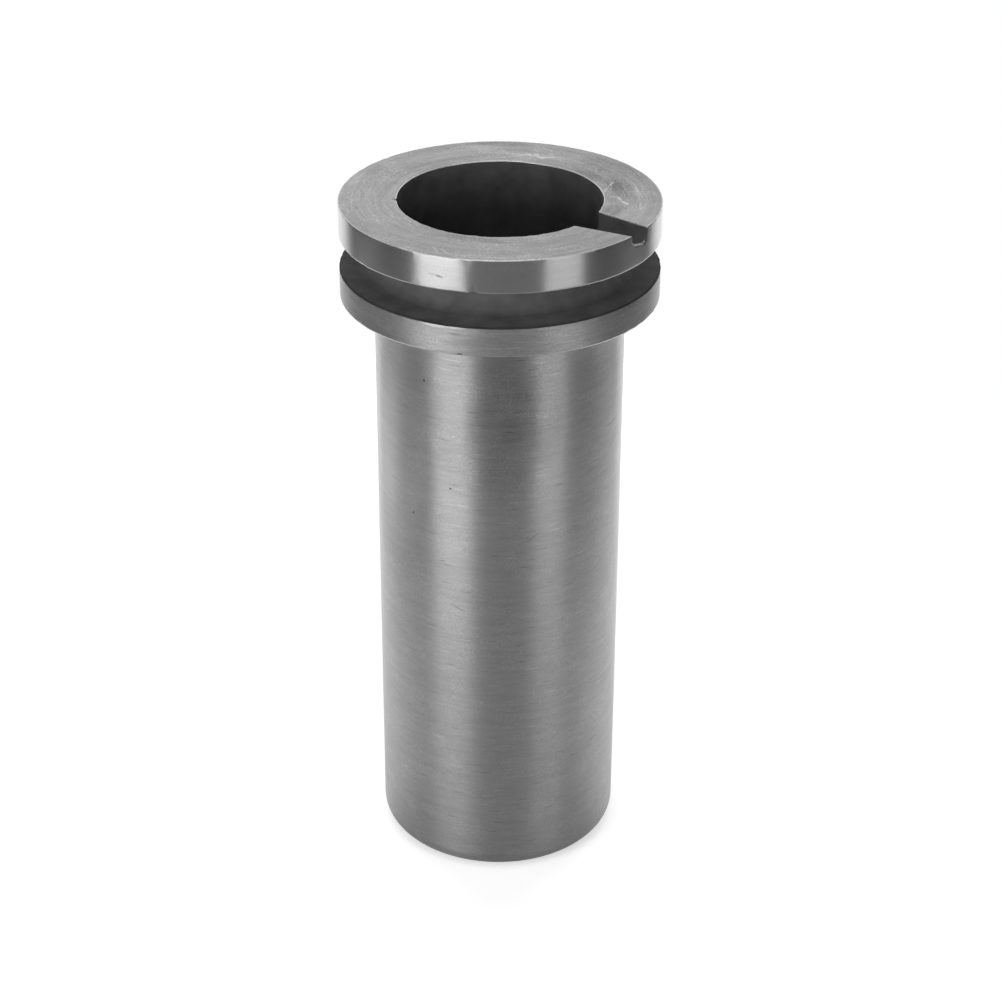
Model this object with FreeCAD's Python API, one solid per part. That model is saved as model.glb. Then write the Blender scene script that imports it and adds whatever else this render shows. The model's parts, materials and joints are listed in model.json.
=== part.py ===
# Graphite foundry crucible with a two-disc head, a groove for the lifting tongs and a pouring notch.
#
# The frame has its origin on the axis at the underside of the base. +Z runs up the axis and +X runs out
# along the pouring notch. All lengths are in millimetres.

import FreeCAD, Part
import os

# Overall sizes
HEIGHT = 170.0
HEAD_DIAMETER = 75.0
BODY_DIAMETER = 59.2
CAVITY_DIAMETER = 47.7
BASE_THICKNESS = 12.0

# Head, from the pouring rim down
RIM_DISC_THICKNESS = 8.0
TONG_GROOVE_WIDTH = 8.0
TONG_GROOVE_ROOT_DIAMETER = 59.0
SEAT_DISC_THICKNESS = 7.2

# Pouring notch, a rounded channel that narrows and rises from the cavity to the rim
NOTCH_WIDTH_AT_RIM = 6.7
NOTCH_WIDTH_AT_CAVITY = 9.8
NOTCH_DEPTH_AT_RIM = 3.3
NOTCH_DEPTH_AT_CAVITY = 5.4

# Corners that the turning tools leave
BASE_CORNER_RADIUS = 5.0
CAVITY_CORNER_RADIUS = 8.0
SEAT_CORNER_RADIUS = 2.0
EDGE_BREAK = 0.4

# Radii and heights that follow from the sizes above
head_radius = HEAD_DIAMETER / 2
body_radius = BODY_DIAMETER / 2
cavity_radius = CAVITY_DIAMETER / 2
groove_root_radius = TONG_GROOVE_ROOT_DIAMETER / 2
groove_top = HEIGHT - RIM_DISC_THICKNESS
groove_bottom = groove_top - TONG_GROOVE_WIDTH
seat_height = groove_bottom - SEAT_DISC_THICKNESS
head_wall = head_radius - cavity_radius

SHARP = "sharp"
ROUND = "round"
BEVEL = "bevel"

AXIS_POINT = FreeCAD.Vector(0, 0, 0)
AXIS_UP = FreeCAD.Vector(0, 0, 1)


def half_section_corners():
    """Corners of the half section as (radius, height, form, size), from the axis round the outside."""
    return [
        (0.0, 0.0, SHARP, 0.0),
        (body_radius, 0.0, ROUND, BASE_CORNER_RADIUS),
        (body_radius, seat_height, ROUND, SEAT_CORNER_RADIUS),
        (head_radius, seat_height, BEVEL, EDGE_BREAK),
        (head_radius, groove_bottom, BEVEL, EDGE_BREAK),
        (groove_root_radius, groove_bottom, SHARP, 0.0),
        (groove_root_radius, groove_top, SHARP, 0.0),
        (head_radius, groove_top, BEVEL, EDGE_BREAK),
        (head_radius, HEIGHT, BEVEL, EDGE_BREAK),
        (cavity_radius, HEIGHT, BEVEL, EDGE_BREAK),
        (cavity_radius, BASE_THICKNESS, ROUND, CAVITY_CORNER_RADIUS),
        (0.0, BASE_THICKNESS, SHARP, 0.0),
    ]


def finished_corner(before, corner, after):
    """Edge that finishes a square corner, with its first and last point. A sharp corner has no edge."""
    point = FreeCAD.Vector(corner[0], 0, corner[1])
    form, size = corner[2:]
    if form == SHARP:
        return None, point, point
    towards_before = (FreeCAD.Vector(before[0], 0, before[1]) - point).normalize()
    towards_after = (FreeCAD.Vector(after[0], 0, after[1]) - point).normalize()
    first = point + towards_before * size
    last = point + towards_after * size
    if form == BEVEL:
        return Part.makeLine(first, last), first, last
    centre = first + towards_after * size
    middle = centre + (point - centre).normalize() * size
    return Part.Arc(first, middle, last).toShape(), first, last


def half_section():
    """Closed half section of the crucible in the XZ plane, with every corner finished."""
    corners = half_section_corners()
    finished = []
    for index, corner in enumerate(corners):
        after = corners[(index + 1) % len(corners)]
        finished.append(finished_corner(corners[index - 1], corner, after))
    edges = []
    for index, (corner_edge, first, last) in enumerate(finished):
        if corner_edge is not None:
            edges.append(corner_edge)
        next_first = finished[(index + 1) % len(finished)][1]
        edges.append(Part.makeLine(last, next_first))
    return Part.Face(Part.Wire(edges))


def turned_blank():
    """Crucible as it leaves the lathe, before the notch is cut."""
    return half_section().revolve(AXIS_POINT, AXIS_UP, 360)


def notch_size_at(reach, at_cavity, at_rim):
    """Size of the notch at a distance from the axis, on the straight run from cavity to rim."""
    share = (reach - cavity_radius) / head_wall
    return at_cavity + (at_rim - at_cavity) * share


def notch_section(reach):
    """U-shaped section of the notch cutter at a distance from the axis, open side up."""
    radius = notch_size_at(reach, NOTCH_WIDTH_AT_CAVITY, NOTCH_WIDTH_AT_RIM) / 2
    depth = notch_size_at(reach, NOTCH_DEPTH_AT_CAVITY, NOTCH_DEPTH_AT_RIM)
    floor = HEIGHT - depth
    centre = floor + radius
    above = max(centre, HEIGHT) + RIM_DISC_THICKNESS
    upper_left = FreeCAD.Vector(reach, radius, above)
    lower_left = FreeCAD.Vector(reach, radius, centre)
    bottom = FreeCAD.Vector(reach, 0, floor)
    lower_right = FreeCAD.Vector(reach, -radius, centre)
    upper_right = FreeCAD.Vector(reach, -radius, above)
    return Part.Wire([
        Part.makeLine(upper_left, lower_left),
        Part.Arc(lower_left, bottom, lower_right).toShape(),
        Part.makeLine(lower_right, upper_right),
        Part.makeLine(upper_right, upper_left),
    ])


def notch_cutter():
    """Tapered U-shaped cutter that reaches half a wall past the cavity and past the rim."""
    inner_end = notch_section(cavity_radius - head_wall / 2)
    outer_end = notch_section(head_radius + head_wall / 2)
    solid = True
    ruled = True
    return Part.makeLoft([inner_end, outer_end], solid, ruled)


def crucible():
    """The whole crucible, one solid."""
    return turned_blank().cut(notch_cutter())


shape = crucible()
os.makedirs("parts", exist_ok=True)
shape.exportStep("parts/crucible.step")

box = shape.optimalBoundingBox()
print("valid", shape.isValid(), "solids", len(shape.Solids))
print("size %.3f x %.3f x %.3f mm, lowest point %.3f" % (box.XLength, box.YLength, box.ZLength, box.ZMin))
print("volume %.1f mm3, wall of the body %.2f mm" % (shape.Volume, body_radius - cavity_radius))
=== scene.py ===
# Looks of a graphite foundry crucible: its turned form with worn edges, its finishes and a plain studio.
# Lengths are in metres, written in millimetres through the factor mm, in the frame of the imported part.

import json
import math

import bpy
import numpy as np
from mathutils import Matrix, Vector, noise


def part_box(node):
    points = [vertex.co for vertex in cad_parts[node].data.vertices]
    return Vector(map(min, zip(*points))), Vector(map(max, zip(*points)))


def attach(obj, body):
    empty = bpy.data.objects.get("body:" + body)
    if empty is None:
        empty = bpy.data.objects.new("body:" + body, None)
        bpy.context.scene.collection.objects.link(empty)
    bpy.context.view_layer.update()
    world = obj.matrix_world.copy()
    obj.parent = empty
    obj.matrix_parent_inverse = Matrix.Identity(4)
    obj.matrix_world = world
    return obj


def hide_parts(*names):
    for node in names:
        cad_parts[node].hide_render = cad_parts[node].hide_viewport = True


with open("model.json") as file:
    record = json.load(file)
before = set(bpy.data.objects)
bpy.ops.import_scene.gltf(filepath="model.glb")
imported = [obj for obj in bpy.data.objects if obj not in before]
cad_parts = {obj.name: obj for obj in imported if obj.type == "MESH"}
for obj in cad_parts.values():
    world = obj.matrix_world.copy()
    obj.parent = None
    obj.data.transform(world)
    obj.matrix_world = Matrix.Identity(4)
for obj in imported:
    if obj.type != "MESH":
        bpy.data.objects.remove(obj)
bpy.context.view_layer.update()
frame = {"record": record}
mm = 0.001


# Turned crucible. It is one block of fine-grained moulded graphite, turned on a lathe to a straight barrel
# with a blind melting bore and a head of two discs, with the groove for the lifting tongs between them.
# The edges were broken by hand and have since worn and chipped.
mounts = {mount["name"]: mount for mount in frame["record"]["mounts"]}
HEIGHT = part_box("crucible")[1][2]
HEAD_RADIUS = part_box("crucible")[1][0]
BODY_RADIUS = mounts["barrel"]["dims"]["r_mm"] * mm
SEAT_HEIGHT = mounts["seat_face"]["pos_m"][2]
GROOVE_WIDTH = 8.0 * mm
GROOVE_BOTTOM = mounts["tong_groove"]["pos_m"][2] - GROOVE_WIDTH / 2
GROOVE_TOP = GROOVE_BOTTOM + GROOVE_WIDTH
GROOVE_ROOT_RADIUS = 29.5 * mm
CAVITY_RADIUS = 23.85 * mm
BASE_THICKNESS = 12.0 * mm
BASE_ROUNDING = 5.0 * mm
SEAT_ROUNDING = 2.0 * mm
CAVITY_ROUNDING = 8.0 * mm
ROOT_ROUNDING = 2.5 * mm
EDGE_ROUNDING = 0.22 * mm
DISC_EDGE_ROUNDING = 0.36 * mm
SUPPORT = 0.16 * mm
SMALL_ROUNDING = 1.0 * mm
WORN_BAND = 1.6 * mm
COLUMNS = 600
SEAM = 1e-7

TURNED, POLISHED, BRUSHED, FACED, WORN_AND_HIGHLIGHT, CUT, LEDGE_PAINTED_SHADE, BORED_WITH_PAINTED_LIGHT_AND_SHADE = range(8)


def half_section():
    """Points (radius, height) of the half section from the axis round the outside, and each one's finish.

    Each corner has its rounding, the steps in it, the rows up to the next corner, the finish of the rounding
    and the finish after it. Small roundings have a supporting row on each side, and the bore has close rows
    under its edge, so that a chip in it bends no long face.
    """
    corners = [
        (0.0, 0.0, 0.0, 0, 4, TURNED, TURNED),
        (BODY_RADIUS, 0.0, BASE_ROUNDING, 12, 15, TURNED, TURNED),
        (BODY_RADIUS, SEAT_HEIGHT, SEAT_ROUNDING, 4, 2, TURNED, TURNED),
        (HEAD_RADIUS, SEAT_HEIGHT, DISC_EDGE_ROUNDING, 5, 4, WORN_AND_HIGHLIGHT, BRUSHED),
        # The lower disc's upper edge is rounded in the dark bored finish as a painted dark line of shade, and
        # its ledge takes a finish painted darker outwards as shade.
        (HEAD_RADIUS, GROOVE_BOTTOM, DISC_EDGE_ROUNDING, 5, 5, BORED_WITH_PAINTED_LIGHT_AND_SHADE, LEDGE_PAINTED_SHADE),
        (GROOVE_ROOT_RADIUS, GROOVE_BOTTOM, ROOT_ROUNDING, 8, 2, CUT, CUT),
        (GROOVE_ROOT_RADIUS, GROOVE_TOP, ROOT_ROUNDING, 8, 3, CUT, CUT),
        (HEAD_RADIUS, GROOVE_TOP, DISC_EDGE_ROUNDING, 5, 6, WORN_AND_HIGHLIGHT, POLISHED),
        (HEAD_RADIUS, HEIGHT, EDGE_ROUNDING, 4, 15, WORN_AND_HIGHLIGHT, FACED),
        (CAVITY_RADIUS, HEIGHT, EDGE_ROUNDING, 4, 2, WORN_AND_HIGHLIGHT, BORED_WITH_PAINTED_LIGHT_AND_SHADE),
        (CAVITY_RADIUS, HEIGHT - WORN_BAND, 0.0, 0, 12, BORED_WITH_PAINTED_LIGHT_AND_SHADE, BORED_WITH_PAINTED_LIGHT_AND_SHADE),
        (CAVITY_RADIUS, BASE_THICKNESS, CAVITY_ROUNDING, 8, 3, BORED_WITH_PAINTED_LIGHT_AND_SHADE, BORED_WITH_PAINTED_LIGHT_AND_SHADE),
        (0.0, BASE_THICKNESS, 0.0, 0, 0, BORED_WITH_PAINTED_LIGHT_AND_SHADE, BORED_WITH_PAINTED_LIGHT_AND_SHADE),
    ]
    points = []
    finishes = []
    for index, (radius, height, rounding, steps, rows, edge_finish, finish) in enumerate(corners):
        corner = Vector((radius, height))
        back = corner - Vector(corners[index - 1][:2])
        ahead = Vector(corners[(index + 1) % len(corners)][:2]) - corner
        back.normalize()
        ahead.normalize()
        stretch = [corner]
        labels = [finish]
        if steps:
            centre = corner - back * rounding + ahead * rounding
            stretch = []
            for step in range(steps + 1):
                angle = math.radians(90) * step / steps
                run_in = ahead * rounding * math.cos(angle)
                stretch.append(centre - run_in + back * rounding * math.sin(angle))
            labels = [edge_finish] * steps + [finish]
            if rounding < SMALL_ROUNDING:
                stretch.insert(0, stretch[0] - back * SUPPORT)
                stretch.append(stretch[-1] + ahead * SUPPORT)
                labels = [finishes[-1]] + labels + [finish]
        if points:
            before = Vector(points[-1])
            previous_rows = corners[index - 1][4]
            for row in range(1, previous_rows):
                points.append(tuple(before.lerp(stretch[0], row / previous_rows)))
                finishes.append(finishes[-1])
        for point, label in zip(stretch, labels):
            points.append(tuple(point))
            finishes.append(label)
    return points, finishes


def add(tree, kind, links=None, **settings):
    """Adds a node with its settings. links gives inputs their value, or the socket that feeds them."""
    node = tree.nodes.new(kind)
    for name, value in settings.items():
        setattr(node, name, value)
    for key, value in (links or {}).items():
        if isinstance(value, bpy.types.NodeSocket):
            tree.links.new(value, node.inputs[key])
        else:
            node.inputs[key].default_value = value
    return node


def lathe_tree():
    """Geometry Nodes tree that turns a half section about the Z axis in equal columns."""
    tree = bpy.data.node_groups.new("lathe", "GeometryNodeTree")
    tree.interface.new_socket("Half Section", in_out="INPUT", socket_type="NodeSocketGeometry")
    tree.interface.new_socket("Columns", in_out="INPUT", socket_type="NodeSocketInt")
    tree.interface.new_socket("Seam", in_out="INPUT", socket_type="NodeSocketFloat")
    tree.interface.new_socket("Material", in_out="INPUT", socket_type="NodeSocketMaterial")
    tree.interface.new_socket("Turned", in_out="OUTPUT", socket_type="NodeSocketGeometry")
    given = add(tree, "NodeGroupInput").outputs
    section_size = add(tree, "GeometryNodeAttributeDomainSize", {"Geometry": given["Half Section"]})
    rows = section_size.outputs["Point Count"]
    columns_and_seam = add(tree, "FunctionNodeIntegerMath", {0: given["Columns"], 1: 1}, operation="ADD")
    grid = add(tree, "GeometryNodeMeshGrid", {"Vertices X": columns_and_seam.outputs[0], "Vertices Y": rows})
    index = add(tree, "GeometryNodeInputIndex").outputs[0]
    column = add(tree, "FunctionNodeIntegerMath", {0: index, 1: rows}, operation="DIVIDE_FLOOR").outputs[0]
    row = add(tree, "FunctionNodeIntegerMath", {0: index, 1: rows}, operation="MODULO").outputs[0]
    section_point = add(tree, "GeometryNodeSampleIndex", {
        "Geometry": given["Half Section"],
        "Value": add(tree, "GeometryNodeInputPosition").outputs[0],
        "Index": row,
    }, data_type="FLOAT_VECTOR")
    share = add(tree, "ShaderNodeMath", {0: column, 1: given["Columns"]}, operation="DIVIDE")
    angle = add(tree, "ShaderNodeMath", {0: share.outputs[0], 1: math.tau, 2: math.pi},
                operation="MULTIPLY_ADD")
    place = add(tree, "ShaderNodeVectorRotate", {
        "Vector": section_point.outputs[0],
        "Angle": angle.outputs[0],
    }, rotation_type="Z_AXIS")
    turned = add(tree, "GeometryNodeSetPosition", {
        "Geometry": grid.outputs["Mesh"], "Position": place.outputs[0],
    })
    named = add(tree, "GeometryNodeStoreNamedAttribute", {
        "Geometry": turned.outputs[0],
        "Name": "row",
        "Value": row,
    }, data_type="INT", domain="POINT")
    closed = add(tree, "GeometryNodeMergeByDistance", {
        "Geometry": named.outputs[0], "Distance": given["Seam"],
    })
    smooth = add(tree, "GeometryNodeSetShadeSmooth", {"Geometry": closed.outputs[0]})
    real = add(tree, "GeometryNodeRealizeInstances", {"Geometry": smooth.outputs[0]})
    finished = add(tree, "GeometryNodeSetMaterial", {
        "Geometry": real.outputs[0], "Material": given["Material"],
    })
    add(tree, "NodeGroupOutput", {"Turned": finished.outputs[0]})
    return tree


def turn_on_lathe(name, points, material):
    """New object: the half section turned by the lathe tree, as a plain mesh."""
    section = bpy.data.meshes.new("half_section")
    edges = [(index, index + 1) for index in range(len(points) - 1)]
    section.from_pydata([(radius, 0.0, height) for radius, height in points], edges, [])
    blank = bpy.data.objects.new("half_section", section)
    bpy.context.collection.objects.link(blank)
    tree = lathe_tree()
    lathe = blank.modifiers.new("lathe", "NODES")
    lathe.node_group = tree
    values = {"Columns": COLUMNS, "Seam": SEAM, "Material": material}
    for socket in tree.interface.items_tree:
        if socket.name in values:
            lathe[socket.identifier] = values[socket.name]
    evaluated = blank.evaluated_get(bpy.context.evaluated_depsgraph_get())
    mesh = bpy.data.meshes.new_from_object(evaluated)
    bpy.data.objects.remove(blank)
    mesh.name = name
    turned = bpy.data.objects.new(name, mesh)
    bpy.context.collection.objects.link(turned)
    return turned


# Pouring notch. It is a channel filed across the upper disc, with rounded corners and a floor that leans to
# one side. It narrows and rises from the bore to the rim and ends in a rolled lip. The rows of the turned
# mesh are laid into it, in a window of columns round it.
NOTCH_WIDTH_AT_RIM = 6.7 * mm
NOTCH_WIDTH_AT_CAVITY = 10.1 * mm
NOTCH_DEPTH_AT_RIM = 2.8 * mm
NOTCH_DEPTH_AT_CAVITY = 5.4 * mm
NOTCH_EDGE_ROUNDING = 0.26 * mm
NOTCH_ROUND = 0.75
NOTCH_LEAN = 0.22
NOTCH_LIP_ROUNDING = 0.75 * mm
NOTCH_WINDOW_COLUMNS = 36
NOTCH_WINDOW_MARGIN = 1.001
NOTCH_SHARES = (0.0, 0.08, 0.42, 0.47, 0.59, 1.0)
NOTCH_LIP_SHARE = 0.12
NOTCH_LIP_HIGHLIGHT_WAY = Vector((0.55, 0.35, 0.76))
NOTCH_LIP_HIGHLIGHT_COSINE = 0.7
NOTCH_LIP_REACH = 1.2 * NOTCH_LIP_ROUNDING
NOTCH_MARGIN = 1.0 * mm
RIM_SIDE_DEPTH = 0.02 * mm
LEVEL_COSINE = 0.97
NOTCH_FALL_AT_RIM = 7.0 * mm
NOTCH_FALL_IN_CAVITY = 14.0 * mm
NOTCH_FADE = 3.0 * mm


def notch_section(share, half_width, depth, offset, end):
    """Distance across and height below the rim of the notch's section, sunk into the metal by offset.

    share runs from 0 at the middle of the floor to 1 at end, over the floor, the round, the wall, the
    rounded edge and the flat rim beside the notch.
    """
    edge = NOTCH_EDGE_ROUNDING
    rounding = NOTCH_ROUND * np.minimum(half_width, depth - edge)
    parts = []
    for first, last in zip(NOTCH_SHARES, NOTCH_SHARES[1:]):
        parts.append(np.clip((share - first) / (last - first), 0, 1))
    floor, around, wall, over, flat = parts
    quarter = math.pi / 2
    across = (
        (half_width - rounding) * floor
        + (rounding + offset) * np.sin(quarter * around)
        + (edge - np.minimum(offset, edge)) * (1 - np.cos(quarter * over))
        + (end - half_width - edge + np.minimum(edge - offset, 0)) * flat
    )
    height = (
        -(depth + offset)
        + (rounding + offset) * (1 - np.cos(quarter * around))
        + (depth - rounding - edge) * wall
        + (edge - np.minimum(offset, edge)) * np.sin(quarter * over)
    )
    return across, height


def grown(distance, edge, growth, fade):
    """Distance from an edge, with the rounding there grown by a factor and the rest moved less and less."""
    inner = distance * growth
    outer = distance + (growth - 1) * edge * np.clip(1 - (distance - edge) / fade, 0, 1)
    return np.where(distance < edge, inner, outer)


def file_notch(points):
    """Lays the points of the turned mesh near the notch into its channel."""
    radius = np.hypot(points[:, 0], points[:, 1])
    angle = np.arctan2(points[:, 1], points[:, 0])
    fall = HEIGHT - points[:, 2]
    window = math.tau * NOTCH_WINDOW_COLUMNS / COLUMNS
    in_cavity = radius < (CAVITY_RADIUS + HEAD_RADIUS) / 2
    reach = np.where(in_cavity, NOTCH_FALL_IN_CAVITY, NOTCH_FALL_AT_RIM)
    near = (np.abs(angle) < window * NOTCH_WINDOW_MARGIN) & (fall < reach)
    radius, angle, fall, reach = radius[near], angle[near], fall[near], reach[near]
    share = np.minimum(np.abs(angle) / window, 1)
    low_in_channel = np.clip((NOTCH_SHARES[2] - share) / (NOTCH_SHARES[2] - NOTCH_LIP_SHARE), 0, 1)
    growth = 1 + (NOTCH_LIP_ROUNDING / EDGE_ROUNDING - 1) * low_in_channel
    from_rim = grown(HEAD_RADIUS - radius, EDGE_ROUNDING, growth, NOTCH_FADE)
    from_cavity = grown(radius - CAVITY_RADIUS, EDGE_ROUNDING, growth, NOTCH_FADE)
    radius = np.where(in_cavity[near], CAVITY_RADIUS + from_cavity, HEAD_RADIUS - from_rim)
    offset = grown(np.minimum(fall, EDGE_ROUNDING), EDGE_ROUNDING, growth, NOTCH_FADE)
    along = (radius - CAVITY_RADIUS) / (HEAD_RADIUS - CAVITY_RADIUS)
    half_width = (NOTCH_WIDTH_AT_CAVITY + (NOTCH_WIDTH_AT_RIM - NOTCH_WIDTH_AT_CAVITY) * along) / 2
    depth = NOTCH_DEPTH_AT_CAVITY + (NOTCH_DEPTH_AT_RIM - NOTCH_DEPTH_AT_CAVITY) * along
    across, height = notch_section(share, half_width, depth, offset, radius * np.sin(window))
    height *= 1 + NOTCH_LEAN * np.sign(angle) * np.minimum(across / half_width, 1)
    down = np.clip((fall - EDGE_ROUNDING) / (reach - EDGE_ROUNDING), 0, 1)
    across = across * (1 - down) + radius * np.sin(window * share) * down
    height = height * (1 - down) - reach * down
    points[near, 0] = np.sqrt(radius**2 - across**2)
    points[near, 1] = np.sign(angle) * across
    points[near, 2] = HEIGHT + height


def notch_finish(face):
    """Finish of a face of the rim: its own outside the notch, and inside it dark walls and worn edges, and on
    the lip a painted highlight where the face turns to the light and painted shade elsewhere.
    """
    radius = math.hypot(face.center.x, face.center.y)
    on_side = radius > HEAD_RADIUS - RIM_SIDE_DEPTH
    in_notch = abs(face.center.y) < NOTCH_WIDTH_AT_CAVITY / 2 + NOTCH_MARGIN and face.center.x > 0
    at_top = face.center.z > HEIGHT - NOTCH_EDGE_ROUNDING
    level = face.normal.z > LEVEL_COSINE
    if on_side or not in_notch or (level and at_top):
        return face.material_index
    if at_top:
        return WORN_AND_HIGHLIGHT
    # On the lip, faces turned towards the light take the bright worn finish as a painted highlight, and the
    # others the dark bored finish as painted shade.
    on_lip = radius > HEAD_RADIUS - NOTCH_LIP_REACH
    turned_to_highlight = face.normal.dot(NOTCH_LIP_HIGHLIGHT_WAY) > NOTCH_LIP_HIGHLIGHT_COSINE
    return WORN_AND_HIGHLIGHT if on_lip and turned_to_highlight else BORED_WITH_PAINTED_LIGHT_AND_SHADE


# Wear of the edges. Graphite is soft, so each broken edge is a little uneven all round, and tongs and tables
# have knocked small chips out of it. An edge has its radius and height, the way in and up that it is rubbed,
# and by how much. A chip has its edge, its place round the axis in degrees, its size and its depth.
WEAR = [
    (HEAD_RADIUS, HEIGHT, -1, -1, 0.05 * mm),
    (CAVITY_RADIUS, HEIGHT, 1, -1, 0.06 * mm),
    (HEAD_RADIUS, GROOVE_TOP, -1, 1, 0.05 * mm),
    (HEAD_RADIUS, GROOVE_BOTTOM, -1, -1, 0.10 * mm),
    (HEAD_RADIUS, SEAT_HEIGHT, -1, 1, 0.05 * mm),
]
WEAR_WAVE = 2.2 * mm
WEAR_REACH = 0.9 * mm
WEAR_EVERYWHERE = 0.5
WEAR_OCTAVES = 4
CHIP_SPREAD = 1.6
CHIPS = [
    (HEAD_RADIUS, GROOVE_TOP, -65.4, 0.7 * mm, 0.22 * mm),
    (HEAD_RADIUS, GROOVE_BOTTOM, -80.0, 0.5 * mm, 0.20 * mm),
    (HEAD_RADIUS, GROOVE_BOTTOM, -74.5, 1.2 * mm, 0.12 * mm),
    (HEAD_RADIUS, SEAT_HEIGHT, -70.4, 0.5 * mm, 0.16 * mm),
    (CAVITY_RADIUS, HEIGHT, -143.7, 0.45 * mm, 0.35 * mm),
]


def wear_edges(points):
    """Rubs the edges back unevenly and knocks the chips out of them."""
    radius = np.hypot(points[:, 0], points[:, 1])
    angle = np.arctan2(points[:, 1], points[:, 0])
    push_in = np.zeros(len(points))
    push_up = np.zeros(len(points))
    for edge_radius, edge_height, inward, upward, amount in WEAR:
        away = np.hypot(radius - edge_radius, points[:, 2] - edge_height)
        for index in np.nonzero(away < WEAR_REACH)[0]:
            place = Vector(points[index]) / WEAR_WAVE
            uneven = WEAR_EVERYWHERE + noise.fractal(place, 1.0, 2.0, WEAR_OCTAVES)
            rubbed = amount * (1 - away[index] / WEAR_REACH) * uneven
            push_in[index] += inward * rubbed
            push_up[index] += upward * rubbed
        for chip_radius, chip_height, chip_angle, size, depth in CHIPS:
            if (chip_radius, chip_height) != (edge_radius, edge_height):
                continue
            around = (angle - math.radians(chip_angle)) * edge_radius
            knocked = depth * np.exp(-((around / size) ** 2) - (away / (CHIP_SPREAD * depth)) ** 2)
            push_in += inward * knocked
            push_up += upward * knocked
    points[:, 0] += push_in * np.cos(angle)
    points[:, 1] += push_in * np.sin(angle)
    points[:, 2] += push_up


# Finishes. The barrel is turned, the rim's side is polished, the lower disc's side is brushed and the face is
# scuffed. The edges are worn bright and painted lighter still as a highlight. The groove, its ledge, the
# notch and the bore are left dark and matt; the ledge is painted darker outwards as shade, the bore lighter
# towards its mouth as painted light, and the notch's lip has a painted highlight and painted shade. Some
# broad tones on the barrel and lines at the discs' edges are painted light and shade.
# Rings, hairs and speckles come from noise, and scratches, scuffs and broad tones are marks listed one by
# one.
RING_WRAP = 2.4 * mm
FINE_RING = 0.35 * mm
BROAD_RING = 1.6 * mm
DARK_HAIR = 1.1 * mm
LIGHT_HAIR = 1.3 * mm
HAIR_CORE = 0.04
DARK_HAIR_EDGE = 0.15
LIGHT_HAIR_EDGE = 0.14
CLOUD = 7.0 * mm
GRAIN = 0.45 * mm
SCUFF_FIRST = 0.26
SCUFF_LAST = 0.40
TOOL_DEPTH = 0.05 * mm
GRAIN_SHARE = 0.6
DULL_CLOUD = 5.0 * mm
DULL_GRAIN = 0.5 * mm
DULL_GRAIN_DEPTH = 0.1 * mm
BORE_PAINTED_LIGHT_REACH = 12.0 * mm
NOISE_LOW = 0.3
NOISE_HIGH = 0.7
MARK_DEPTH = 2.0 * mm
MARK_CORE = 0.45

# A mark is an ellipsoid sunk in the surface. A row has its azimuth in degrees, its height on a wall or its
# radius on the face in millimetres, its tilt in degrees, its length and width in millimetres, and its tone,
# which is below 0 where it is darker than the rest. A seventh number sinks its middle below the wall.
BARREL_MARKS_AND_PAINTED_LIGHT = [
    (-92.5, 134.7, 0, 0.9, 0.8, -0.6),
    (-79.3, 108.4, 20, 0.9, 0.6, -0.7),
    (-99.8, 99.0, 35, 1.1, 0.6, -0.65),
    (-77.6, 122.2, 0, 0.7, 0.6, 0.35),
    (-117.5, 137.6, -3, 6.0, 0.5, -0.22),
    (-75.9, 76.4, -24, 5.2, 0.45, -0.3),
    (-31.0, 98.8, 18, 3.8, 0.4, 0.25),
    (-84.0, 88.5, 12, 2.6, 0.4, -0.28),
    (-104.0, 60.5, 1, 9.0, 0.4, -0.2),
    (-41.5, 96.0, 32, 5.5, 0.4, -0.28),
    (-46.0, 62.0, -12, 3.5, 0.4, -0.22),
    (-112.0, 105.5, 2, 5.0, 0.4, -0.2),
    (-106.0, 43.6, 1, 8.0, 0.45, -0.16),
    (52.0, 84.0, 28, 6.0, 0.4, -0.25),
    (118.0, 121.0, -20, 4.5, 0.4, 0.2),
    (164.0, 52.0, 9, 7.0, 0.4, -0.22),
    # The broad rows from here to the one at -109 degrees are painted light and shade: they darken the upper
    # barrel's front and its highlights under the head as painted shade, and lighten its left side as a
    # painted reflection.
    (-47.0, 133.0, 4, 6.0, 7.0, -0.08),
    (-51.0, 125.0, -6, 9.0, 11.0, -0.08),
    (-63.0, 128.0, 2, 6.0, 9.0, -0.06),
    (-55.0, 126.0, 0, 36.0, 46.0, -0.17),
    (-36.0, 130.0, 0, 12.0, 40.0, -0.15),
    (-77.0, 127.0, 0, 14.0, 46.0, -0.13),
    (-122.0, 118.0, 0, 20.0, 60.0, 0.12),
    (-109.0, 116.0, 0, 34.0, 62.0, 0.19),
    (-79.0, 141.5, 0, 7.0, 0.4, 0.28),
    (-77.0, 140.2, 3, 5.0, 0.4, -0.22),
    (-82.0, 139.0, -2, 6.0, 0.4, 0.20),
    (-39.0, 141.2, -4, 5.0, 0.4, 0.25),
    (-42.0, 139.8, 3, 4.0, 0.4, -0.20),
    (6.0, 119.0, 4, 7.0, 0.4, -0.28),
    (10.0, 117.0, 6, 6.0, 0.4, 0.25),
    (7.0, 113.0, 3, 6.0, 0.4, -0.22),
    (12.0, 104.0, 5, 6.0, 0.4, 0.22),
]
RIM_MARKS_AND_PAINTED_SHADE = [
    (-77.6, 165.3, -8, 2.6, 0.7, -0.45),
    (-80.2, 165.6, 0, 2.2, 0.6, -0.2),
    (-66.0, 163.6, 80, 1.6, 0.5, -0.2),
    # The dark mark sunk under the rim's edge at -65.8 degrees is painted shade in the chip there.
    (-65.8, 162.2, 0, 2.4, 0.7, -0.6, 0.1),
    (6.2, 167.6, 90, 5.0, 3.4, -0.2),
    (96.0, 166.0, 10, 4.2, 0.4, -0.3),
]
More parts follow.
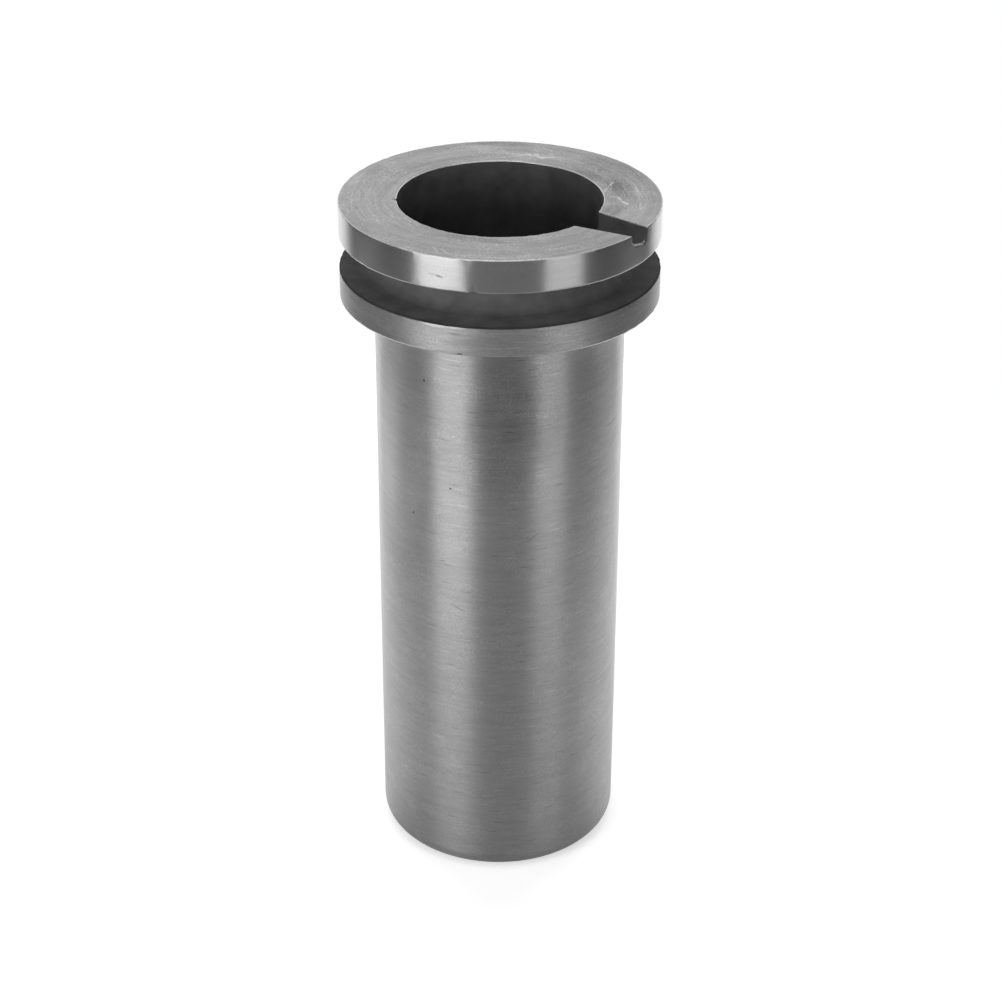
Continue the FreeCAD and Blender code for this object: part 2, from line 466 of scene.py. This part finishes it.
DISC_MARKS_AND_PAINTED_HIGHLIGHT = [
    (-72.3, 151.9, -4, 3.0, 0.5, -0.25),
    (-70.4, 147.2, 0, 1.8, 0.7, -0.55),
    (-76.0, 150.6, -12, 5.0, 0.4, 0.12),
    # The two light lines just under the lower disc's upper edge are scuffs and a painted highlight along that
    # edge.
    (-79.5, 153.35, 0, 8.0, 0.8, 0.45),
    (-71.5, 153.4, 1, 5.0, 0.7, 0.5),
]
FACE_MARKS = [
    (52.0, 32.0, 0, 50.0, 24.0, -0.18),
    (148.0, 31.0, 0, 36.0, 8.0, 0.16),
    (122.0, 35.4, 0, 22.0, 5.0, -0.14),
    (16.0, 26.6, 0, 11.0, 6.0, -0.28),
    (69.0, 25.8, 0, 15.0, 4.6, -0.24),
    (-72.0, 25.8, 0, 22.0, 4.0, -0.16),
    (45.0, 28.6, -4, 17.0, 6.4, -0.21),
    (51.0, 27.8, -11, 13.0, 5.0, -0.15),
    (33.0, 26.0, 6, 9.0, 5.0, -0.12),
    (107.0, 28.4, 0, 22.0, 5.0, 0.14),
    (102.0, 28.0, 0, 2.2, 1.4, 0.50),
    (106.0, 29.5, 0, 1.8, 1.2, 0.45),
    (44.5, 24.9, -30, 4.6, 0.8, 0.40),
    (51.9, 27.4, -42, 4.6, 0.8, 0.60),
    (47.4, 26.6, -21, 5.8, 0.6, 0.25),
    (34.4, 26.2, -86, 2.6, 0.8, 0.50),
    (32.0, 27.5, 19, 3.6, 0.9, 0.65),
    (26.9, 28.8, 40, 3.6, 1.1, 0.65),
    (20.5, 29.2, 48, 2.6, 1.0, -0.18),
    (41.8, 32.3, 0, 14.0, 0.9, 0.22),
    (28.6, 32.2, 5, 16.0, 0.8, 0.16),
    (70.3, 29.6, 10, 1.6, 0.8, -0.40),
    (-134.8, 33.4, 5, 1.2, 0.6, -0.40),
    (145.0, 34.2, 0, 1.2, 0.7, -0.45),
    (119.9, 26.5, 18, 4.6, 1.0, 0.25),
    (113.4, 27.9, 33, 4.0, 1.2, 0.35),
    (108.9, 28.7, -38, 3.6, 1.3, 0.45),
    (104.1, 28.1, -30, 4.2, 1.2, 0.45),
    (98.8, 28.8, 20, 4.0, 1.3, 0.40),
    (100.0, 31.0, -26, 2.4, 1.2, 0.30),
    (-147.7, 28.9, 7, 14.0, 0.6, 0.12),
    (-132.1, 26.6, 8, 11.0, 0.6, 0.14),
    (-112.2, 25.2, 13, 9.0, 0.6, 0.12),
    (-165.0, 35.5, -5, 12.0, 2.4, 0.14),
    (-81.3, 34.2, -46, 5.0, 0.9, 0.28),
    (-77.2, 34.5, -35, 5.6, 0.9, 0.25),
    (-70.0, 27.1, -16, 5.4, 0.6, 0.18),
    (-58.2, 35.9, -4, 8.0, 0.9, 0.16),
    (-30.0, 26.2, -2, 8.0, 0.6, 0.20),
]


def linear(code):
    """Linear colour of an sRGB hex code, opaque."""
    channels = [int(code[start:start + 2], 16) / 255 for start in (1, 3, 5)]
    return tuple(c / 12.92 if c <= 0.04045 else ((c + 0.055) / 1.055) ** 2.4 for c in channels) + (1.0,)


def new_material(name):
    """Empty node material and its tree."""
    material = bpy.data.materials.new(name)
    material.use_nodes = True
    material.node_tree.nodes.clear()
    return material, material.node_tree


def add_marks(tree, place, marks, wall_radius):
    """Adds the nodes of a list of marks and returns the socket that sums their tones.

    wall_radius is the radius of their wall, or None for the level face. The tilt turns a mark on a wall about
    the line out of the axis, and one on the face about the vertical.
    """
    total = None
    for azimuth, reach, tilt, length, width, tone, *deeper in marks:
        turn = math.radians(azimuth)
        half_length = length * mm / 2
        half_width = width * mm / 2
        if wall_radius is None:
            radius = reach * mm
            height = HEIGHT
            rotation = (0, 0, turn + math.radians(tilt))
            scale = (half_width, half_length, MARK_DEPTH)
        else:
            radius = wall_radius - sum(deeper) * mm
            height = reach * mm
            rotation = (math.radians(tilt), 0, turn)
            scale = (MARK_DEPTH, half_length, half_width)
        inside = add(tree, "ShaderNodeMapping", {
            "Vector": place,
            "Location": (radius * math.cos(turn), radius * math.sin(turn), height),
            "Rotation": rotation,
            "Scale": scale,
        }, vector_type="TEXTURE")
        away = add(tree, "ShaderNodeVectorMath", {0: inside.outputs[0]}, operation="LENGTH")
        mark = add(tree, "ShaderNodeMapRange", {
            "Value": away.outputs["Value"], "From Min": MARK_CORE, "From Max": 1.0,
            "To Min": tone, "To Max": 0.0,
        }, interpolation_type="SMOOTHSTEP").outputs[0]
        total = mark if total is None else add(tree, "ShaderNodeMath", {0: total, 1: mark}).outputs[0]
    return total


def turned_graphite(name, colour, marks, wall_radius, roughness, spread, rings, bands, scuffs, scores):
    """Graphite as a cutting tool leaves it: a grey semi-metal shine drawn out across the tool's fine rings.

    spread is how far the shine is drawn out and rings how strongly the rings stand out. bands, scuffs and
    scores are the shares by which the rings, the rubbed spots and the short fine scratches round it change
    its lightness. The noise is wrapped round a small circle, so that rings and scratches come out long.
    """
    material, tree = new_material(name)
    place = add(tree, "ShaderNodeTexCoord").outputs["Object"]
    flat_place = add(tree, "ShaderNodeVectorMath", {0: place, 1: (1, 1, 0)}, operation="MULTIPLY")
    outward = add(tree, "ShaderNodeVectorMath", {0: flat_place.outputs[0]}, operation="NORMALIZE").outputs[0]
    radius = add(tree, "ShaderNodeVectorMath", {0: flat_place.outputs[0]}, operation="LENGTH")
    height = add(tree, "ShaderNodeSeparateXYZ", {0: place}).outputs["Z"]
    along = add(tree, "ShaderNodeMath", {0: radius.outputs["Value"], 1: height}, operation="ADD").outputs[0]
    around = add(tree, "ShaderNodeVectorMath", {0: outward, 1: (0, 0, 1)}, operation="CROSS_PRODUCT")
    along_vector = add(tree, "ShaderNodeCombineXYZ", {"Z": along}).outputs[0]
    ring_place = add(tree, "ShaderNodeVectorMath", {
        0: outward, 1: (RING_WRAP, RING_WRAP, 0), 2: along_vector,
    }, operation="MULTIPLY_ADD").outputs[0]
    fine_rings = add(tree, "ShaderNodeTexNoise", {
        "Vector": ring_place, "Scale": 1 / FINE_RING, "Detail": 1.0,
    })
    broad_rings = add(tree, "ShaderNodeTexNoise", {
        "Vector": ring_place, "Scale": 1 / BROAD_RING, "Detail": 2.0,
    })
    dark_hairs = add(tree, "ShaderNodeTexVoronoi", {"Vector": ring_place, "Scale": 1 / DARK_HAIR})
    light_hairs = add(tree, "ShaderNodeTexVoronoi", {"Vector": ring_place, "Scale": 1 / LIGHT_HAIR})
    clouds = add(tree, "ShaderNodeTexNoise", {"Vector": place, "Scale": 1 / CLOUD, "Detail": 4.0})
    grain = add(tree, "ShaderNodeTexNoise", {"Vector": place, "Scale": 1 / GRAIN, "Detail": 2.0})
    ringed = add(tree, "ShaderNodeMapRange", {
        "Value": broad_rings.outputs[0], "From Min": NOISE_LOW, "From Max": NOISE_HIGH,
        "To Min": 1 - bands, "To Max": 1 + bands,
    }, clamp=False)
    finely_ringed = add(tree, "ShaderNodeMapRange", {
        "Value": fine_rings.outputs[0], "From Min": NOISE_LOW, "From Max": NOISE_HIGH,
        "To Min": -bands, "To Max": bands,
    }, clamp=False)
    scored_dark = add(tree, "ShaderNodeMapRange", {
        "Value": dark_hairs.outputs["Distance"], "From Min": HAIR_CORE, "From Max": DARK_HAIR_EDGE,
        "To Min": -scores, "To Max": 0.0,
    })
    scored_light = add(tree, "ShaderNodeMapRange", {
        "Value": light_hairs.outputs["Distance"], "From Min": HAIR_CORE, "From Max": LIGHT_HAIR_EDGE,
        "To Min": scores, "To Max": 0.0,
    })
    speckled = add(tree, "ShaderNodeMapRange", {
        "Value": grain.outputs[0], "From Min": NOISE_LOW, "From Max": NOISE_HIGH,
        "To Min": -scuffs, "To Max": scuffs,
    }, clamp=False)
    rubbed = add(tree, "ShaderNodeMath", {0: grain.outputs[0], 1: clouds.outputs[0]}, operation="MULTIPLY")
    scuffed = add(tree, "ShaderNodeMapRange", {
        "Value": rubbed.outputs[0], "From Min": SCUFF_FIRST, "From Max": SCUFF_LAST,
        "To Min": -0.5 * scuffs, "To Max": 2 * scuffs,
    })
    spots = add(tree, "ShaderNodeMath", {0: speckled.outputs[0], 1: scuffed.outputs[0]})
    scored = add(tree, "ShaderNodeMath", {0: scored_dark.outputs[0], 1: scored_light.outputs[0]})
    lines = add(tree, "ShaderNodeMath", {0: finely_ringed.outputs[0], 1: scored.outputs[0]})
    spotted = add(tree, "ShaderNodeMath", {0: spots.outputs[0], 1: lines.outputs[0]})
    tones = add_marks(tree, place, marks, wall_radius)
    marked = add(tree, "ShaderNodeMath", {0: spotted.outputs[0], 1: tones})
    shade = add(tree, "ShaderNodeMath", {0: ringed.outputs[0], 1: marked.outputs[0]})
    base = add(tree, "ShaderNodeVectorMath", {
        0: linear(colour)[:3], "Scale": shade.outputs[0],
    }, operation="SCALE")
    ring_bump = add(tree, "ShaderNodeBump", {
        "Height": fine_rings.outputs[0], "Strength": rings, "Distance": TOOL_DEPTH,
    })
    grain_bump = add(tree, "ShaderNodeBump", {
        "Height": grain.outputs[0], "Strength": GRAIN_SHARE * rings, "Distance": TOOL_DEPTH,
        "Normal": ring_bump.outputs[0],
    })
    shader = add(tree, "ShaderNodeBsdfPrincipled", {
        "Base Color": base.outputs[0],
        "Metallic": 1.0,
        "Roughness": roughness,
        "Anisotropic": spread,
        "Anisotropic Rotation": 0.25,
        "Tangent": around.outputs[0],
        "Normal": grain_bump.outputs[0],
    })
    add(tree, "ShaderNodeOutputMaterial", {"Surface": shader.outputs[0]})
    return material


def dull_graphite(name, colour, reach="Height", first=0.0, last=1.0, tone=1.0):
    """Graphite as it is bored or cut and never polished: nearly black, matt and finely open-grained.

    From first to last, in height or else in radius, its lightness goes from the colour's to tone times that,
    which paints shade on the groove's ledge and light towards the bore's mouth.
    """
    material, tree = new_material(name)
    place = add(tree, "ShaderNodeTexCoord").outputs["Object"]
    if reach == "Height":
        measured = add(tree, "ShaderNodeSeparateXYZ", {0: place}).outputs["Z"]
    else:
        flat_place = add(tree, "ShaderNodeVectorMath", {0: place, 1: (1, 1, 0)}, operation="MULTIPLY")
        radius = add(tree, "ShaderNodeVectorMath", {0: flat_place.outputs[0]}, operation="LENGTH")
        measured = radius.outputs["Value"]
    clouds = add(tree, "ShaderNodeTexNoise", {"Vector": place, "Scale": 1 / DULL_CLOUD, "Detail": 4.0})
    grain = add(tree, "ShaderNodeTexNoise", {"Vector": place, "Scale": 1 / DULL_GRAIN, "Detail": 2.0})
    lightness = add(tree, "ShaderNodeMapRange", {
        "Value": clouds.outputs[0], "From Min": NOISE_LOW, "From Max": NOISE_HIGH,
        "To Min": 0.78, "To Max": 1.22,
    })
    fade = add(tree, "ShaderNodeMapRange", {
        "Value": measured, "From Min": first, "From Max": last, "To Min": 1.0, "To Max": tone,
    })
    shade = add(tree, "ShaderNodeMath", {0: lightness.outputs[0], 1: fade.outputs[0]}, operation="MULTIPLY")
    base = add(tree, "ShaderNodeVectorMath", {
        0: linear(colour)[:3], "Scale": shade.outputs[0],
    }, operation="SCALE")
    bump = add(tree, "ShaderNodeBump", {
        "Height": grain.outputs[0], "Strength": 0.3, "Distance": DULL_GRAIN_DEPTH,
    })
    shader = add(tree, "ShaderNodeBsdfPrincipled", {
        "Base Color": base.outputs[0],
        "Metallic": 0.0,
        "Roughness": 0.7,
        "Specular IOR Level": 0.15,
        "Normal": bump.outputs[0],
    })
    add(tree, "ShaderNodeOutputMaterial", {"Surface": shader.outputs[0]})
    return material


section_points, section_finishes = half_section()
finishes = [
    turned_graphite("turned_graphite", "#a6a6a6", BARREL_MARKS_AND_PAINTED_LIGHT, BODY_RADIUS, roughness=0.43, spread=0.8,
                    rings=0.60, bands=0.04, scuffs=0.045, scores=0.28),
    turned_graphite("polished_graphite", "#a2a2a2", RIM_MARKS_AND_PAINTED_SHADE, HEAD_RADIUS, roughness=0.31, spread=0.9,
                    rings=0.15, bands=0.02, scuffs=0.02, scores=0.05),
    turned_graphite("brushed_graphite", "#a0a0a0", DISC_MARKS_AND_PAINTED_HIGHLIGHT, HEAD_RADIUS, roughness=0.55, spread=0.7,
                    rings=0.50, bands=0.07, scuffs=0.05, scores=0.20),
    turned_graphite("faced_graphite", "#8f8f8f", FACE_MARKS, None, roughness=0.50, spread=0.5,
                    rings=0.70, bands=0.09, scuffs=0.11, scores=0.22),
    # The worn edges have a lighter colour than the rest, partly their wear and partly a painted highlight
    # along them.
    turned_graphite("worn_graphite", "#bcbcbc", DISC_MARKS_AND_PAINTED_HIGHLIGHT, HEAD_RADIUS, roughness=0.40, spread=0.0,
                    rings=0.30, bands=0.03, scuffs=0.06, scores=0.10),
    dull_graphite("cut_graphite", "#666666"),
    # The ledge on the lower disc is painted darker towards its outer edge, down to 0.4 of its colour, as
    # painted shade under the upper disc.
    dull_graphite("sooty_graphite", "#6c6c6c", reach="Radius", first=GROOVE_ROOT_RADIUS + ROOT_ROUNDING,
                  last=HEAD_RADIUS, tone=0.4),
    # The bore is painted lighter towards its mouth, up to 2.7 times its colour over the top 12 mm, as painted
    # light; the same finish paints shade on the notch's lip and the lower disc's upper edge.
    dull_graphite("bored_graphite", "#303030", reach="Height", first=HEIGHT - BORE_PAINTED_LIGHT_REACH,
                  last=HEIGHT, tone=2.7),
]
crucible = turn_on_lathe("crucible_graphite", section_points, finishes[TURNED])
crucible.data.materials.clear()
for finish in finishes:
    crucible.data.materials.append(finish)

mesh = crucible.data
points = np.empty(len(mesh.vertices) * 3, dtype=np.float32)
mesh.vertices.foreach_get("co", points)
points = points.reshape(-1, 3).astype(np.float64)
file_notch(points)
wear_edges(points)
mesh.vertices.foreach_set("co", points.ravel())
rows = [value.value for value in mesh.attributes["row"].data]
for face in mesh.polygons:
    face.material_index = section_finishes[min(rows[vertex] for vertex in face.vertices)]
    beside_notch = face.center.z > HEIGHT - NOTCH_DEPTH_AT_CAVITY - NOTCH_MARGIN
    if beside_notch and face.material_index in (POLISHED, FACED, WORN_AND_HIGHLIGHT):
        face.material_index = notch_finish(face)
mesh.attributes.remove(mesh.attributes["row"])
mesh.update()
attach(crucible, "root")
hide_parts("crucible")


# Studio. The camera stands at the photograph's viewpoint: the notch is 33 degrees to the right of it, and
# the lens and the distance are those that the outlines of the photograph give.
CAMERA_TURN = math.radians(33.2)
CAMERA_DISTANCE = 560.82 * mm
CAMERA_ELEVATION = math.radians(21.39)
CAMERA_PITCH = math.radians(28.546)
CAMERA_ROLL = math.radians(0.222)
CAMERA_ASIDE = 0.334 * mm
LENS = 86.84

camera_data = bpy.data.cameras.new("camera")
camera_data.lens = LENS
camera_data.sensor_width = 36.0
camera_data.clip_start = 0.01
camera = bpy.data.objects.new("camera", camera_data)
bpy.context.collection.objects.link(camera)
to_photo_side = Matrix.Rotation(CAMERA_TURN, 4, "Z")
stand = Matrix.Translation((
    CAMERA_ASIDE,
    -CAMERA_DISTANCE * math.cos(CAMERA_ELEVATION),
    HEIGHT + CAMERA_DISTANCE * math.sin(CAMERA_ELEVATION),
))
aim = Matrix.Rotation(math.pi / 2 - CAMERA_PITCH, 4, "X") @ Matrix.Rotation(CAMERA_ROLL, 4, "Z")
camera.matrix_world = to_photo_side @ stand @ aim
bpy.context.scene.camera = camera


# Lamps. Two tall soft boxes stand left and right of the camera and reach below the table, and a soft light
# hangs above and in front of the crucible.
def soft_box(name, azimuth, distance, middle, tilt, width, height, brightness):
    """Area lamp at an azimuth from the camera, positive to its right, tilted down towards the axis."""
    data = bpy.data.lights.new(name, "AREA")
    data.shape = "RECTANGLE"
    data.size = width
    data.size_y = height
    data.energy = brightness * math.pi * width * height
    lamp = bpy.data.objects.new(name, data)
    bpy.context.collection.objects.link(lamp)
    around = Matrix.Rotation(math.radians(azimuth), 4, "Z")
    out = Matrix.Translation((0, -distance, middle))
    upright = Matrix.Rotation(math.radians(90 - tilt), 4, "X")
    lamp.matrix_world = to_photo_side @ around @ out @ upright
    lamp.visible_camera = False


soft_box("left_soft_box", azimuth=-41, distance=0.7, middle=0.24, tilt=0, width=0.42, height=0.9,
         brightness=2.7)
soft_box("right_soft_box", azimuth=44, distance=0.7, middle=0.24, tilt=0, width=0.34, height=0.9,
         brightness=1.5)
soft_box("overhead_soft_box", azimuth=0, distance=0.3, middle=0.9, tilt=72, width=0.5, height=0.5,
         brightness=2.4)


# Table and backdrop. The crucible stands on a round table under white paper, before a white backdrop, in a
# dim room. The camera sees all of it evenly white but for the soft shadow under the crucible. Mirrored in
# the graphite, the table behind it is brighter than white, and so is the backdrop for all but the camera.
TABLE_RADIUS = 0.30
ROOM_LIGHT_IN_FRONT = 0.30
ROOM_LIGHT_ON_THE_LEFT = 0.16
ROOM_LIGHT_ON_THE_RIGHT = 0.09
BACKDROP_LIGHT = 1.5
NEAR_LIGHT_IN_FRONT = 0.47
NEAR_LIGHT_BEHIND = 1.45
FAR_LIGHT_IN_FRONT = 0.14
FAR_LIGHT_BEHIND = 2.0
TABLE_NEAR = 0.12
TABLE_FAR = 0.30
FOOT_SHADE = 0.7
PAPER = "#e6e6e6"
PAPER_GLOW = 0.5
GLOW_FIRST = 0.5 * TABLE_RADIUS
GLOW_LAST = 0.8 * TABLE_RADIUS
behind = to_photo_side @ Vector((0, 1, 0))
to_the_right = to_photo_side @ Vector((1, 0, 0))

table_mesh = bpy.data.meshes.new("table")
table_edge = [
    (TABLE_RADIUS * math.cos(math.radians(angle)), TABLE_RADIUS * math.sin(math.radians(angle)), 0)
    for angle in range(0, 360, 3)
]
table_mesh.from_pydata(table_edge, [], [tuple(range(len(table_edge)))])
table = bpy.data.objects.new("table", table_mesh)
bpy.context.collection.objects.link(table)


def add_facing(tree, place, way, first, last, low, high):
    """Adds nodes that rise from low to high as the level direction of place turns to a given way.

    first and last are the cosines of the angle from that way, between which it rises.
    """
    level = add(tree, "ShaderNodeVectorMath", {0: place, 1: (1, 1, 0)}, operation="MULTIPLY")
    heading = add(tree, "ShaderNodeVectorMath", {0: level.outputs[0]}, operation="NORMALIZE")
    facing = add(tree, "ShaderNodeVectorMath", {
        0: heading.outputs[0], 1: tuple(way),
    }, operation="DOT_PRODUCT")
    return add(tree, "ShaderNodeMapRange", {
        "Value": facing.outputs["Value"], "From Min": first, "From Max": last, "To Min": low, "To Max": high,
    }, interpolation_type="SMOOTHSTEP").outputs[0]


paper, tree = new_material("white_paper")
place = add(tree, "ShaderNodeTexCoord").outputs["Object"]
distance = add(tree, "ShaderNodeVectorMath", {0: place}, operation="LENGTH").outputs["Value"]
near_light = add_facing(tree, place, behind, first=-0.97, last=0.2,
                        low=NEAR_LIGHT_IN_FRONT, high=NEAR_LIGHT_BEHIND)
far_light = add_facing(tree, place, behind, first=-0.1, last=0.55,
                       low=FAR_LIGHT_IN_FRONT, high=FAR_LIGHT_BEHIND)
mirrored = add(tree, "ShaderNodeMapRange", {
    "Value": distance, "From Min": TABLE_NEAR, "From Max": TABLE_FAR,
    "To Min": near_light, "To Max": far_light,
}).outputs[0]
foot_shade = add(tree, "ShaderNodeMapRange", {
    "Value": distance, "From Min": BODY_RADIUS, "From Max": TABLE_NEAR, "To Min": FOOT_SHADE, "To Max": 1.0,
}).outputs[0]
shaded = add(tree, "ShaderNodeMath", {0: mirrored, 1: foot_shade}, operation="MULTIPLY").outputs[0]
mirror_glow = add(tree, "ShaderNodeEmission", {"Color": (1, 1, 1, 1), "Strength": shaded})
matt = add(tree, "ShaderNodeBsdfDiffuse", {"Color": linear(PAPER)})
seen = add(tree, "ShaderNodeLightPath")
reflected = add(tree, "ShaderNodeMixShader", {
    0: seen.outputs["Is Glossy Ray"], 1: matt.outputs[0], 2: mirror_glow.outputs[0],
})
glow_strength = add(tree, "ShaderNodeMapRange", {
    "Value": distance, "From Min": GLOW_FIRST, "From Max": GLOW_LAST,
    "To Min": PAPER_GLOW, "To Max": 1.0,
}, interpolation_type="SMOOTHSTEP")
glow = add(tree, "ShaderNodeEmission", {"Color": (1, 1, 1, 1), "Strength": glow_strength.outputs[0]})
lit = add(tree, "ShaderNodeAddShader", {0: matt.outputs[0], 1: glow.outputs[0]})
paper_shader = add(tree, "ShaderNodeMixShader", {
    0: seen.outputs["Is Camera Ray"], 1: reflected.outputs[0], 2: lit.outputs[0],
})
add(tree, "ShaderNodeOutputMaterial", {"Surface": paper_shader.outputs[0]})
table_mesh.materials.append(paper)

world = bpy.data.worlds.new("studio")
world.use_nodes = True
bpy.context.scene.world = world
tree = world.node_tree
tree.nodes.clear()
direction = add(tree, "ShaderNodeTexCoord").outputs["Generated"]
beside = add_facing(tree, direction, to_the_right, first=-0.5, last=0.9,
                    low=ROOM_LIGHT_ON_THE_LEFT, high=ROOM_LIGHT_ON_THE_RIGHT)
around_room = add_facing(tree, direction, behind, first=-1.0, last=-0.2,
                         low=ROOM_LIGHT_IN_FRONT, high=beside)
backdrop = add_facing(tree, direction, behind, first=0.65, last=0.75,
                      low=around_room, high=BACKDROP_LIGHT)
room = add(tree, "ShaderNodeBackground", {"Color": (1, 1, 1, 1), "Strength": backdrop})
white = add(tree, "ShaderNodeBackground", {"Color": (1, 1, 1, 1), "Strength": 1.0})
seen = add(tree, "ShaderNodeLightPath")
sky = add(tree, "ShaderNodeMixShader", {
    0: seen.outputs["Is Camera Ray"], 1: room.outputs[0], 2: white.outputs[0],
})
add(tree, "ShaderNodeOutputWorld", {"Surface": sky.outputs[0]})

bpy.context.scene.view_settings.view_transform = "Standard"
